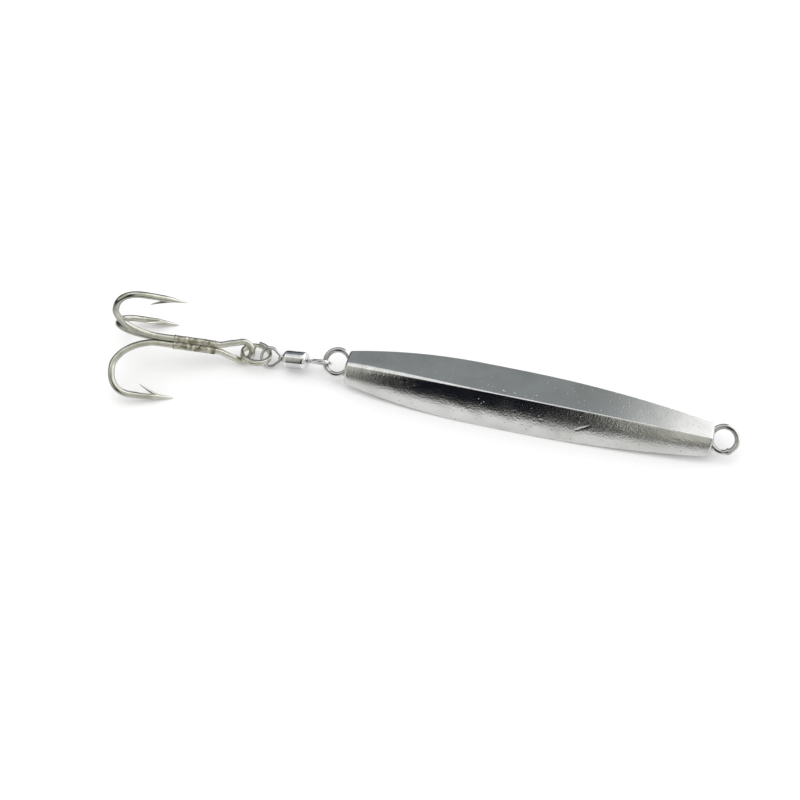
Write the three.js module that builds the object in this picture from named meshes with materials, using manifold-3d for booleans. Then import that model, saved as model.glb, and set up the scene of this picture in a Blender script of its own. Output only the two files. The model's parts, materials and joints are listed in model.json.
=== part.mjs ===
// Cast metal jig, lying on a flat surface: a four-sided lead body with a ring cast into each end.
// The ring at the hook end carries a barrel swivel, a split ring and a treble hook.
// Millimetres, +Z up. X runs along the body, hook end at -X and line end at +X.
// The origin is the middle of the facet that the body rests on, at its fattest place.
import * as THREE from 'three';
import { mergeVertices } from 'three/addons/utils/BufferGeometryUtils.js';
import Module from 'manifold-3d';

const wasm = await Module();
wasm.setup();

// ---- Driving dimensions ---------------------------------------------------------------------
// Body: a rhombus in section, swelling from each end to the middle
const BODY_WIDTH = 19.1;        // across the two parting edges, at the fattest place
const BODY_DEPTH = 12.4;        // across the two ridges, at the fattest place
const HOOK_REACH = 46.0;        // from the fattest place to the hook end's face
const LINE_REACH = 64.0;        // from the fattest place to the line end's face
const STRAIGHT_HALF = 5.5;      // half length of the middle stretch that doesn't taper
const HOOK_END_WIDTH = 10.2;    // across the parting edges at the hook end
const LINE_END_WIDTH = 10.0;    // across the parting edges at the line end
const HOOK_TAPER_POWER = 2.0;   // how late the hook half narrows
const LINE_TAPER_POWER = 2.05;  // how late the line half narrows
const PARTING_ROUND = 0.35;     // edge radius where the two mould halves met
const RIDGE_ROUND = 1.1;        // edge radius of the two ridges
const END_ROUND = 0.9;          // radius round each end face

// Rings cast into the ends
const RING_WIRE = 1.64;         // wire diameter
const RING_OUTER = 9.2;         // outer diameter
const RING_STANDOFF = 2.9;      // ring centre to the end face
const RING_OFFSET = 0.85;       // ring centre off the body's middle, towards the upper parting edge
const CAST_CLEAR = 0.08;        // casting skin left round a ring's buried part

// Barrel swivel
const BARREL_LENGTH = 7.7;
const BARREL_OUTER = 5.4;
const BARREL_WALL = 0.5;
const BARREL_LIP = 0.75;        // thickness of each swaged end
const BARREL_ROUND = 1.3;       // radius of the swaged shoulders
const EYE_WIRE = 1.06;          // wire diameter of both eyes
const EYE_LOOP_RADIUS = 2.8;    // radius of an eye's round end, to the wire's middle
const EYE_REACH = 4.5;          // from the barrel's mouth to the middle of the round end
const SHANK_RUN_CLEAR = 0.09;   // radial clearance of a shank in the barrel's mouth
const HEAD_DIAMETER = 3.0;      // the head that keeps a shank in the barrel
const HEAD_THICK = 1.0;
const HEAD_PLAY = 0.15;         // end play between a head and the swaged lip

// Split ring
const SPLIT_OUTER = 9.6;
const SPLIT_RADIAL = 0.95;      // width of the flat wire, across the ring
const SPLIT_COIL = 0.88;        // height of one coil
const SPLIT_GAP = 0.12;         // gap between the two coils
const SPLIT_OVERLAP = 0.98;     // share of the second turn that is there

// Treble hook
const HOOK_WIRE = 1.96;
const TREBLE_EYE_RADIUS = 3.0;  // radius of the eye, to the wire's middle
const SHANK_LENGTH = 25.6;      // from the middle of the eye to the heel of the bend
const EYE_NECK = 8.2;           // from the middle of the eye to where the wires run together
const HEEL_DEPTH = 12.4;        // heel of the bend to its back, along the shank
const HEEL_RISE = 9.0;          // heel of the bend to its back, away from the shank
const HEEL_POWER = 1.75;        // how full the bend is at its heel; 2 is an ellipse
const TOP_POWER = 2.5;          // how full it is towards the point
const HOOK_STRETCH = [1.1, 0, -0.4];  // how much deeper each hook is bent than the first
const GAPE = 16.7;              // shank wire to point wire, middle to middle
const TOP_RUN = 7.0;            // back of the bend to the start of the point, along the shank
const POINT_LENGTH = 12.1;      // straight part that ends in the point
const POINT_DIP = 0.6;          // how far the point leans in towards the shank
const NEEDLE_LENGTH = 6.5;      // taper of the point
const NEEDLE_TIP = 0.16;        // wire diameter left at the tip
const BARB_BACK = 10.6;         // tip of the point to the root of the barb
const BARB_LENGTH = 6.6;
const BARB_RISE = 2.6;          // how far the barb stands off the wire
const SHANK_GAP = 0.1;          // gap between neighbouring shank wires
const BRAZE_LENGTH = 12.5;
const BRAZE_SKIN = 0.22;        // brazing metal over the wires
const BRAZE_CLEAR = 0.1;        // between the brazing metal and each wire

// How the loose pieces lie, in degrees
const EYE_ON_RING = 14;         // where the front eye hangs on the ring, round from its far point
const SWIVEL_SKEW = -9.5;       // swivel turned in the ring's plane, from pointing straight out
const SWIVEL_LIFT = -6.8;       // swivel out of the ring's plane
const REAR_EYE_TWIST = 8;       // rear eye past square to the front eye
const SPLIT_YAW = -7.5;         // split ring's heading, from -X towards +Y
const SPLIT_PITCH = 9.8;        // split ring's far side up
const SPLIT_ROLL = 11.5;        // split ring's -Y side up
const TREBLE_YAW = -17.1;       // treble's heading, from -X towards +Y
const TREBLE_PITCH = 14.3;      // bends of the treble above its eye
const TREBLE_ROLL = 0;
const EYE_PLAY = 0.35;          // slack of an eye on the ring it hangs from

// ---- Sizes that follow from them ----------------------------------------------------------------
const RING_MEAN = (RING_OUTER - RING_WIRE) / 2;
const SPLIT_MEAN = (SPLIT_OUTER - SPLIT_RADIAL) / 2;
const BODY_SIDE = Math.hypot(BODY_WIDTH, BODY_DEPTH) / 2;
const AXIS_HEIGHT = (BODY_WIDTH * BODY_DEPTH) / 4 / BODY_SIDE;
const LEAN = Math.atan2(BODY_DEPTH, BODY_WIDTH);
const AXIS_Y = (BODY_WIDTH * Math.cos(LEAN) - BODY_DEPTH * Math.sin(LEAN)) / 4;
const WIRE_STEP = (HOOK_WIRE + SHANK_GAP) / 2;
const BRAZE_START = EYE_NECK + 0.6;

// ---- Materials -----------------------------------------------------------------------------------
const metal = (colour, roughness) =>
  new THREE.MeshStandardMaterial({ color: colour, roughness, metalness: 1 });
const PLATED_LEAD = metal(0xb4b6b4, 0.32);
const STEEL_WIRE = metal(0xb9bab8, 0.22);
const SWIVEL_STEEL = metal(0xc3c4c4, 0.2);
const TINNED_WIRE = metal(0xb7b6a6, 0.3);
const BRAZE_METAL = metal(0xa8a790, 0.5);

// ---- Shape helpers -------------------------------------------------------------------------------
const V = (x, y, z) => new THREE.Vector3(x, y, z);
const rad = THREE.MathUtils.degToRad;

// A closed skin over a row of loops, each with the same number of points, with a flat cap on each end.
function loft(loops) {
  const sides = loops[0].length;
  const points = loops.flat();
  const faces = [];
  for (let k = 0; k + 1 < loops.length; k++) {
    for (let i = 0; i < sides; i++) {
      const a = k * sides + i;
      const b = k * sides + ((i + 1) % sides);
      faces.push(a, b, b + sides, a, b + sides, a + sides);
    }
  }
  const last = (loops.length - 1) * sides;
  for (let i = 1; i + 1 < sides; i++) {
    faces.push(0, i + 1, i, last, last + i, last + i + 1);
  }
  const geometry = new THREE.BufferGeometry().setFromPoints(points);
  geometry.setIndex(faces);
  return geometry;
}

// A round bar along a curve; radiusAt gives its radius from 0 at the start to 1 at the end.
function bar(curve, steps, sides, radiusAt) {
  const frames = curve.computeFrenetFrames(steps, false);
  const loops = [];
  for (let k = 0; k <= steps; k++) {
    const middle = curve.getPointAt(k / steps);
    const radius = radiusAt(k / steps);
    loops.push(Array.from({ length: sides }, (_, i) => {
      const turn = (2 * Math.PI * i) / sides;
      return middle.clone()
        .addScaledVector(frames.normals[k], radius * Math.cos(turn))
        .addScaledVector(frames.binormals[k], radius * Math.sin(turn));
    }));
  }
  return loft(loops);
}

function toSolid(geometry, matrix = new THREE.Matrix4()) {
  const plain = geometry.clone().applyMatrix4(matrix);
  plain.deleteAttribute('normal');
  plain.deleteAttribute('uv');
  const merged = mergeVertices(plain, 1e-5);
  const mesh = new wasm.Mesh({
    numProp: 3,
    vertProperties: new Float32Array(merged.attributes.position.array),
    triVerts: new Uint32Array(merged.index.array),
  });
  mesh.merge();
  return new wasm.Manifold(mesh);
}

function fromSolid(solid) {
  const mesh = solid.getMesh();
  const geometry = new THREE.BufferGeometry();
  geometry.setAttribute('position', new THREE.BufferAttribute(mesh.vertProperties, 3));
  geometry.setIndex(new THREE.BufferAttribute(mesh.triVerts, 1));
  return geometry;
}

// A frame whose X axis is along, whose Y axis is as near as can be to across.
function frameAt(origin, along, across) {
  const x = along.clone().normalize();
  const y = across.clone().addScaledVector(x, -across.dot(x)).normalize();
  return new THREE.Matrix4().makeBasis(x, y, x.clone().cross(y)).setPosition(origin);
}

const named = (name, geometry, material) => {
  const mesh = new THREE.Mesh(geometry, material);
  mesh.name = name;
  return mesh;
};

const placed = (mesh, matrix) => {
  mesh.applyMatrix4(matrix);
  return mesh;
};

// ---- Body ------------------------------------------------------------------------------------------
// The rhombus as a loop of unit size: parting edges on the first axis, ridges on the second.
function rhombus() {
  const halfWidth = BODY_WIDTH / 2;
  const halfDepth = BODY_DEPTH / 2;
  const corners = [
    { at: [halfWidth, 0], turn: 0, half: LEAN, round: PARTING_ROUND },
    { at: [0, halfDepth], turn: 90, half: Math.PI / 2 - LEAN, round: RIDGE_ROUND },
    { at: [-halfWidth, 0], turn: 180, half: LEAN, round: PARTING_ROUND },
    { at: [0, -halfDepth], turn: 270, half: Math.PI / 2 - LEAN, round: RIDGE_ROUND },
  ];
  const loop = [];
  const steps = 4;
  for (const { at, turn, half, round } of corners) {
    const middle = rad(turn);
    const inset = round / Math.sin(half);
    const centre = [at[0] - inset * Math.cos(middle), at[1] - inset * Math.sin(middle)];
    const sweep = Math.PI / 2 - half;
    for (let i = 0; i <= steps; i++) {
      const angle = middle + sweep * ((2 * i) / steps - 1);
      loop.push([centre[0] + round * Math.cos(angle), centre[1] + round * Math.sin(angle)]);
    }
  }
  return loop;
}

// Share of the full section at a distance from the fattest place.
function swell(x) {
  const towardsLine = x > 0;
  const reach = (towardsLine ? LINE_REACH : HOOK_REACH) - STRAIGHT_HALF;
  const endShare = (towardsLine ? LINE_END_WIDTH : HOOK_END_WIDTH) / BODY_WIDTH;
  const power = towardsLine ? LINE_TAPER_POWER : HOOK_TAPER_POWER;
  const run = Math.max(0, Math.abs(x) - STRAIGHT_HALF) / reach;
  return 1 - (1 - endShare) * run ** power;
}

// Where the section is drawn along the body: [x, share of the full section].
function stations() {
  const list = [];
  const taperSteps = 14;
  const roundSteps = 3;
  const flatDistance = AXIS_HEIGHT;
  const half = (sign, reach) => {
    const rows = [];
    for (let i = 0; i <= taperSteps; i++) {
      const x = STRAIGHT_HALF + (reach - END_ROUND - STRAIGHT_HALF) * (i / taperSteps);
      rows.push([sign * x, swell(sign * x)]);
    }
    for (let i = 1; i <= roundSteps; i++) {
      const angle = (Math.PI / 2) * (i / roundSteps);
      const x = reach - END_ROUND * (1 - Math.sin(angle));
      const inset = END_ROUND * (1 - Math.cos(angle));
      rows.push([sign * x, swell(sign * x) - inset / flatDistance]);
    }
    return rows;
  };
  list.push(...half(-1, HOOK_REACH).reverse(), ...half(1, LINE_REACH));
  return list;
}

// The direction across the body in its parting plane, and the direction square to that plane.
const PARTING_DIR = V(0, Math.cos(LEAN), Math.sin(LEAN));
const RIDGE_DIR = V(0, -Math.sin(LEAN), Math.cos(LEAN));
const axisPoint = (x) => V(x, AXIS_Y, AXIS_HEIGHT);
const ringCentreAt = (x) => axisPoint(x).addScaledVector(PARTING_DIR, RING_OFFSET);
const hookRingCentre = ringCentreAt(-HOOK_REACH - RING_STANDOFF);
const lineRingCentre = ringCentreAt(LINE_REACH + RING_STANDOFF);

function ringAt(centre, wireDiameter, tubeSides, turns) {
  const torus = new THREE.TorusGeometry(RING_MEAN, wireDiameter / 2, tubeSides, turns);
  return { torus, matrix: frameAt(centre, V(1, 0, 0), PARTING_DIR) };
}

function jigBody() {
  const outline = rhombus();
  const loops = stations().map(([x, share]) =>
    outline.map(([across, up]) =>
      axisPoint(x)
        .addScaledVector(PARTING_DIR, across * share)
        .addScaledVector(RIDGE_DIR, up * share)));
  let solid = toSolid(loft(loops));
  for (const centre of [hookRingCentre, lineRingCentre]) {
    const { torus, matrix } = ringAt(centre, RING_WIRE + 2 * CAST_CLEAR, 14, 52);
    solid = solid.subtract(toSolid(torus, matrix));
  }
  return named('jig_body', fromSolid(solid), PLATED_LEAD);
}

function castRing(name, centre) {
  const { torus, matrix } = ringAt(centre, RING_WIRE, 12, 48);
  return placed(named(name, torus, STEEL_WIRE), matrix);
}

// ---- Swivel ------------------------------------------------------------------------------------------
// Local frame of an eye: X points out of the barrel's mouth, Y lies in the plane of the loop.
function swivelEye() {
  const wire = EYE_WIRE / 2;
  const neck = EYE_WIRE * 0.3;
  const apex = EYE_REACH - neck;
  const tangent = Math.asin(EYE_LOOP_RADIUS / apex);
  const along = (distance, side) =>
    V(neck + distance * Math.cos(tangent), side * distance * Math.sin(tangent), 0);
  const legLength = apex * Math.cos(tangent);
  const legStart = (wire * 1.14) / Math.sin(tangent);
  const path = [];
  for (const share of [0, 0.35, 0.7]) {
    path.push(along(legStart + (legLength - legStart) * share, 1));
  }
  const sweep = Math.PI / 2 + tangent;
  const arcSteps = 14;
  for (let i = 0; i <= arcSteps; i++) {
    const angle = sweep * (1 - (2 * i) / arcSteps);
    path.push(V(EYE_REACH + EYE_LOOP_RADIUS * Math.cos(angle), EYE_LOOP_RADIUS * Math.sin(angle), 0));
  }
  for (const share of [0.7, 0.35, 0]) {
    path.push(along(legStart + (legLength - legStart) * share, -1));
  }
  const loop = bar(new THREE.CatmullRomCurve3(path), 44, 10, () => wire);

  const headInner = -(BARREL_LIP + HEAD_PLAY);
  const profile = [
    [0, headInner - HEAD_THICK],
    [HEAD_DIAMETER / 2 - 0.2, headInner - HEAD_THICK],
    [HEAD_DIAMETER / 2, headInner - HEAD_THICK + 0.2],
    [HEAD_DIAMETER / 2, headInner],
    [wire, headInner],
    [wire, neck + 0.4],
    [0, neck + 0.9],
  ].map(([r, x]) => new THREE.Vector2(r, x));
  const shank = new THREE.LatheGeometry(profile, 16);
  const alongX = new THREE.Matrix4().makeRotationZ(-Math.PI / 2);

  const knuckle = new THREE.SphereGeometry(1, 14, 8);
  const legGap = legStart * Math.sin(tangent);
  const knuckleAt = new THREE.Matrix4()
    .makeTranslation(neck + legStart * Math.cos(tangent) - 0.12, 0, 0)
    .multiply(new THREE.Matrix4().makeScale(EYE_WIRE * 0.95, legGap + wire * 1.15, wire * 1.22));
  return fromSolid(toSolid(loop).add(toSolid(shank, alongX)).add(toSolid(knuckle, knuckleAt)));
}

// A hollow barrel, its ends swaged in round the shanks. Local X runs from mouth to mouth.
function swivelBarrel() {
  const outer = BARREL_OUTER / 2;
  const inner = outer - BARREL_WALL;
  const mouth = EYE_WIRE / 2 + SHANK_RUN_CLEAR;
  const shoulderSteps = 4;
  const shoulder = (end, sign) => Array.from({ length: shoulderSteps + 1 }, (_, i) => {
    const angle = (Math.PI / 2) * (i / shoulderSteps);
    return [outer - BARREL_ROUND * (1 - Math.sin(angle)), end + sign * BARREL_ROUND * (1 - Math.cos(angle))];
  });
  const cavityRound = 0.6;
  const profile = [
    [mouth, 0],
    ...shoulder(0, 1),
    ...shoulder(BARREL_LENGTH, -1).reverse(),
    [mouth, BARREL_LENGTH],
    [mouth, BARREL_LENGTH - BARREL_LIP],
    [inner - cavityRound, BARREL_LENGTH - BARREL_LIP],
    [inner, BARREL_LENGTH - BARREL_LIP - cavityRound],
    [inner, BARREL_LIP + cavityRound],
    [inner - cavityRound, BARREL_LIP],
    [mouth, BARREL_LIP],
    [mouth, 0],
  ].map(([r, x]) => new THREE.Vector2(r, x));
  const lathe = new THREE.LatheGeometry(profile, 24);
  return fromSolid(toSolid(lathe, new THREE.Matrix4().makeRotationZ(-Math.PI / 2)));
}

// ---- Split ring -----------------------------------------------------------------------------------------
// Flat wire wound nearly twice round. Local X and Y lie in the ring, Z is its axis.
function splitRing() {
  const turns = 1 + SPLIT_OVERLAP;
  const steps = 72;
  const lead = SPLIT_COIL + SPLIT_GAP;
  const corners = [[-1, -1], [-1, 1], [1, 1], [1, -1]];
  const start = Math.PI / 2;
  const loops = [];
  for (let k = 0; k <= steps; k++) {
    const turn = turns * (k / steps);
    const angle = start + 2 * Math.PI * turn;
    const height = lead * (turn - turns / 2);
    loops.push(corners.map(([out, up]) => {
      const radius = SPLIT_MEAN + (out * SPLIT_RADIAL) / 2;
      return V(radius * Math.cos(angle), radius * Math.sin(angle), height + (up * SPLIT_COIL) / 2);
    }));
  }
  return loft(loops);
}

// ---- Treble hook -------------------------------------------------------------------------------------------
// Local frame: origin in the middle of the eye, X from the bends to the eye, Y across the eye's plane.
// The first hook of the pair leaves towards +Y, the second towards -Y, and the third towards -Z.
const AWAY = [rad(30), rad(150), rad(270)].map((a) => V(0, Math.cos(a), Math.sin(a)));
const SHANK_AT = [V(0, WIRE_STEP, 0), V(0, -WIRE_STEP, 0), V(0, 0, -WIRE_STEP * Math.sqrt(3))];

// The wire's middle from the heel of the bend to the point, as [along the shank, away from it].
function hookLine(stretch) {
  const line = [];
  const heelDepth = HEEL_DEPTH + stretch;
  const topRun = TOP_RUN + stretch;
  const steps = 8;
  for (let i = 0; i <= steps; i++) {
    const angle = (Math.PI / 2) * (i / steps);
    const down = Math.sin(angle) ** (2 / HEEL_POWER);
    const out = 1 - Math.cos(angle) ** (2 / HEEL_POWER);
    line.push([-SHANK_LENGTH - heelDepth * down, HEEL_RISE * out]);
  }
  for (let i = 1; i <= steps; i++) {
    const angle = (Math.PI / 2) * (i / steps);
    const back = 1 - Math.cos(angle) ** (2 / TOP_POWER);
    const out = Math.sin(angle) ** (2 / TOP_POWER);
    line.push([-SHANK_LENGTH - heelDepth + topRun * back, HEEL_RISE + (GAPE - HEEL_RISE) * out]);
  }
  for (const share of [0.35, 0.7, 1]) {
    line.push([-SHANK_LENGTH - heelDepth + topRun + POINT_LENGTH * share, GAPE - POINT_DIP * share]);
  }
  return line;
}

const onHook = (index, [along, out]) =>
  SHANK_AT[index].clone().add(V(along, 0, 0)).addScaledVector(AWAY[index], out);

// Wire radius near a point that is a given distance away along the wire.
function needle(distance) {
  const share = Math.min(1, distance / NEEDLE_LENGTH);
  return (NEEDLE_TIP + (HOOK_WIRE - NEEDLE_TIP) * share ** 0.8) / 2;
}

// A sliver cut up from the inside of the point wire, leaning back towards the bend.
function barb(index) {
  const tipAlong = -SHANK_LENGTH - HEEL_DEPTH + TOP_RUN + POINT_LENGTH;
  const root = onHook(index, [tipAlong - BARB_BACK + BARB_LENGTH, GAPE - HOOK_WIRE * 0.22]);
  const tip = onHook(index, [tipAlong - BARB_BACK, GAPE - HOOK_WIRE / 2 - BARB_RISE]);
  const curve = new THREE.LineCurve3(root, tip);
  return bar(curve, 2, 6, (share) => HOOK_WIRE * (0.3 - 0.26 * share));
}

function hookPair() {
  const path = hookLine(HOOK_STRETCH[0]).reverse().map((point) => onHook(0, point));
  for (const share of [0.25, 0.5, 0.75]) {
    path.push(onHook(0, [-SHANK_LENGTH + (SHANK_LENGTH - EYE_NECK) * share, 0]));
  }
  const spread = TREBLE_EYE_RADIUS - WIRE_STEP;
  const neckLine = [[EYE_NECK, 0], [EYE_NECK * 0.78, spread * 0.06], [EYE_NECK * 0.52, spread * 0.42]];
  for (const [back, out] of neckLine) {
    path.push(V(-back, WIRE_STEP + out, 0));
  }
  const sweep = rad(118);
  const arcSteps = 14;
  for (let i = 0; i <= arcSteps; i++) {
    const angle = sweep * (1 - (2 * i) / arcSteps);
    path.push(V(TREBLE_EYE_RADIUS * Math.cos(angle), TREBLE_EYE_RADIUS * Math.sin(angle), 0));
  }
  for (const [back, out] of neckLine.reverse()) {
    path.push(V(-back, -WIRE_STEP - out, 0));
  }
  for (const share of [0.75, 0.5, 0.25]) {
    path.push(onHook(1, [-SHANK_LENGTH + (SHANK_LENGTH - EYE_NECK) * share, 0]));
  }
  path.push(...hookLine(HOOK_STRETCH[1]).map((point) => onHook(1, point)));
  const curve = new THREE.CatmullRomCurve3(path);
  curve.arcLengthDivisions = 2000;
  const length = curve.getLength();
  const wire = bar(curve, 136, 10, (share) => needle(Math.min(share, 1 - share) * length));
  return fromSolid(toSolid(wire).add(toSolid(barb(0))).add(toSolid(barb(1))));
}

function thirdHook() {
  const path = [onHook(2, [-EYE_NECK, 0])];
  for (const share of [0.34, 0.67]) {
    path.push(onHook(2, [-EYE_NECK - (SHANK_LENGTH - EYE_NECK) * share, 0]));
  }
  path.push(...hookLine(HOOK_STRETCH[2]).map((point) => onHook(2, point)));
  const curve = new THREE.CatmullRomCurve3(path);
  curve.arcLengthDivisions = 1000;
  const length = curve.getLength();
  const wire = bar(curve, 60, 10, (share) => needle((1 - share) * length));
  return fromSolid(toSolid(wire).add(toSolid(barb(2))));
}

// Brazing metal round the three shanks, with a hole for each wire.
function brazing() {
  const skin = HOOK_WIRE / 2 + BRAZE_CLEAR + BRAZE_SKIN;
  const facets = 8;
  const outline = [];
  const corner = [rad(30), rad(150), rad(270)];
  SHANK_AT.forEach((centre, index) => {
    for (let i = 0; i <= facets; i++) {
      const angle = corner[index] + (2 * Math.PI / 3) * (i / facets - 0.5);
      outline.push([centre.y + skin * Math.cos(angle), centre.z + skin * Math.sin(angle)]);
    }
  });
  const centroid = -WIRE_STEP / Math.sqrt(3);
  const section = (along, share) => outline.map(([y, z]) =>
    V(along, y * share, centroid + (z - centroid) * share));
  const far = -BRAZE_START - BRAZE_LENGTH;
  const sleeve = loft([
    section(far, 0.94),
    section(far + 0.4, 1),
    section(-BRAZE_START - 0.4, 1),
    section(-BRAZE_START, 0.94),
  ]);
  const bore = (radius, y, z) => {
    const tool = new THREE.CylinderGeometry(radius, radius, BRAZE_LENGTH + 2, 20);
    const matrix = new THREE.Matrix4()
      .makeTranslation(-BRAZE_START - BRAZE_LENGTH / 2, y, z)
      .multiply(new THREE.Matrix4().makeRotationZ(Math.PI / 2));
    return toSolid(tool, matrix);
  };
  // the hollow between the three wires stays empty
  let solid = toSolid(sleeve).subtract(bore(WIRE_STEP / Math.sqrt(3), 0, centroid));
  for (const centre of SHANK_AT) {
    solid = solid.subtract(bore(HOOK_WIRE / 2 + BRAZE_CLEAR, centre.y, centre.z));
  }
  return fromSolid(solid);
}

// ---- Where the loose pieces lie ---------------------------------------------------------------------------
// A heading from -X towards +Y by yaw, and up by pitch.
const heading = (yaw, pitch) =>
  V(-Math.cos(rad(yaw)) * Math.cos(rad(pitch)), Math.sin(rad(yaw)) * Math.cos(rad(pitch)),
    Math.sin(rad(pitch)));

// Swivel: the front eye hangs on the ring wire, square to it.
const ringOut = V(-1, 0, 0).multiplyScalar(Math.cos(rad(EYE_ON_RING)))
  .addScaledVector(PARTING_DIR, -Math.sin(rad(EYE_ON_RING)));
const ringTangent = V(1, 0, 0).multiplyScalar(Math.sin(rad(EYE_ON_RING)))
  .addScaledVector(PARTING_DIR, -Math.cos(rad(EYE_ON_RING)));
const swivelOut = ringOut.clone().applyAxisAngle(RIDGE_DIR, rad(SWIVEL_SKEW));
const swivelDir = swivelOut.multiplyScalar(Math.cos(rad(SWIVEL_LIFT)))
  .addScaledVector(RIDGE_DIR, Math.sin(rad(SWIVEL_LIFT)));
const frontLink = hookRingCentre.clone().addScaledVector(ringOut, RING_MEAN);
const frontGrip = EYE_REACH + EYE_LOOP_RADIUS - EYE_WIRE / 2 - RING_WIRE / 2 - EYE_PLAY;
const frontMouth = frontLink.clone().addScaledVector(swivelDir, frontGrip);
const rearMouth = frontMouth.clone().addScaledVector(swivelDir, BARREL_LENGTH);
const frontAcross = ringTangent.clone().cross(swivelDir);
const rearAcross = ringTangent.clone().negate()
  .applyAxisAngle(swivelDir, -rad(REAR_EYE_TWIST));
const frontEyeFrame = frameAt(frontMouth, swivelDir.clone().negate(), frontAcross);
const barrelFrame = frameAt(frontMouth, swivelDir, frontAcross);
const rearEyeFrame = frameAt(rearMouth, swivelDir, rearAcross);

// Split ring: its nearer side runs through the rear eye, its farther side through the treble's eye.
const splitDir = heading(SPLIT_YAW, SPLIT_PITCH);
const splitLevel = V(0, 0, 1).cross(splitDir).negate().normalize();
const splitAcross = splitLevel.applyAxisAngle(splitDir, rad(SPLIT_ROLL));
const rearLink = rearMouth.clone().addScaledVector(swivelDir, EYE_REACH);
const splitCentre = rearLink.clone().addScaledVector(splitDir, SPLIT_MEAN);
const trebleLink = splitCentre.clone().addScaledVector(splitDir, SPLIT_MEAN);
const splitFrame = frameAt(splitCentre, splitDir, splitAcross);

// Treble: its eye hangs on the split ring; two of its points and the eye stand on the surface.
const trebleDir = heading(TREBLE_YAW, TREBLE_PITCH).negate();
const trebleLevel = V(0, 0, 1).cross(trebleDir).normalize();
const trebleAcross = trebleLevel.clone().applyAxisAngle(trebleDir, rad(60 + TREBLE_ROLL));
const trebleFrame = frameAt(trebleLink, trebleDir, trebleAcross);

// ---- Assembly ------------------------------------------------------------------------------------------------
const jig = new THREE.Group();
jig.add(jigBody());
jig.add(castRing('hook_end_ring', hookRingCentre));
jig.add(castRing('line_end_ring', lineRingCentre));
jig.add(placed(named('swivel_front_eye', swivelEye(), SWIVEL_STEEL), frontEyeFrame));
jig.add(placed(named('swivel_barrel', swivelBarrel(), SWIVEL_STEEL), barrelFrame));
jig.add(placed(named('swivel_rear_eye', swivelEye(), SWIVEL_STEEL), rearEyeFrame));
jig.add(placed(named('split_ring', splitRing(), TINNED_WIRE), splitFrame));
jig.add(placed(named('treble_hook_pair', hookPair(), TINNED_WIRE), trebleFrame));
jig.add(placed(named('treble_third_hook', thirdHook(), TINNED_WIRE), trebleFrame));
jig.add(placed(named('treble_brazing', brazing(), BRAZE_METAL), trebleFrame));

export default jig;
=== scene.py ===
# %% [markdown]
# # A cast metal jig with a swivel, a split ring and a treble hook
# The jig lies on a pale table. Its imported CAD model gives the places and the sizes, and each piece is
# made again here with smooth surfaces and a finish of its own.
# Loading the model first means that every later cell can ask it where a piece belongs.

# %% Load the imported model
import json
import math
import bpy
import numpy as np
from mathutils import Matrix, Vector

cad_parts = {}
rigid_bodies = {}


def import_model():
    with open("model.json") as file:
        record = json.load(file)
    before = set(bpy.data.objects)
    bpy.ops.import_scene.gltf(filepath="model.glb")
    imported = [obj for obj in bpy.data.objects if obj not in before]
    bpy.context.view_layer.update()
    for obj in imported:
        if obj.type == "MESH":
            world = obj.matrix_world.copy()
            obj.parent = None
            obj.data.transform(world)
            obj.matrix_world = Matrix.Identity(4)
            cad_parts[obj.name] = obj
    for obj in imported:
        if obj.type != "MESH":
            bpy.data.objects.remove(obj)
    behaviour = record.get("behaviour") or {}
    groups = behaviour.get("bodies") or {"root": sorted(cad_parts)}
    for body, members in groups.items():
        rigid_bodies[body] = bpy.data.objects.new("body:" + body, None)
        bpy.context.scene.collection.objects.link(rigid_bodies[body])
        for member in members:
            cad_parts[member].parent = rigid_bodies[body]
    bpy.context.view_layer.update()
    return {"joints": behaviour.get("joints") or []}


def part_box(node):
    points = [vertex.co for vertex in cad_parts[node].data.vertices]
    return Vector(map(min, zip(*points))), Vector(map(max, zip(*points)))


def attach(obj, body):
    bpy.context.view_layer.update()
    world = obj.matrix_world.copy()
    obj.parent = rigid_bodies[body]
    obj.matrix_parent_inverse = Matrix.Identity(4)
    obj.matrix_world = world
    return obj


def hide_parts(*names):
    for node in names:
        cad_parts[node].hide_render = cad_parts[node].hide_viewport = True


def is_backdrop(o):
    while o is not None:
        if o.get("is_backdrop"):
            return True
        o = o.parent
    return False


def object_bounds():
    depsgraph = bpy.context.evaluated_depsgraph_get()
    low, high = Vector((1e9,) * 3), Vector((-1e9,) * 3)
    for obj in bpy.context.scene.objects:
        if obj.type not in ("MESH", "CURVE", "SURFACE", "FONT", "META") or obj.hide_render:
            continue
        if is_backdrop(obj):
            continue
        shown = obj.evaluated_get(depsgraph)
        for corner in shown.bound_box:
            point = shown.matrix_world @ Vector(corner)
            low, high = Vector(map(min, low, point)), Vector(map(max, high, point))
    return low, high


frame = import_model()
joints = {joint["name"]: joint for joint in frame["joints"]}

# %% [markdown]
# ## The camera
# A small object is best seen from about half a metre through a longish lens, so that its outline stays
# nearly parallel. The camera could be placed by hand. Here two angles and a distance place it, because
# they say plainly what the view is: almost square to the body, half-way up to overhead.

# %% Camera
AIM = (-0.02706, -0.00602, 0.0050)  # the point in the middle of the view, metres
AZIMUTH = math.radians(14.89)  # round from the front, towards the line end
ELEVATION = math.radians(49.86)
DISTANCE = 0.41598
LENS_MM = 63.5

back = np.array([math.sin(AZIMUTH) * math.cos(ELEVATION),
                 -math.cos(AZIMUTH) * math.cos(ELEVATION), math.sin(ELEVATION)])


def placed(name, data):
    """A new object in the scene, at the origin."""
    thing = bpy.data.objects.new(name, data)
    bpy.context.scene.collection.objects.link(thing)
    return thing


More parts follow.
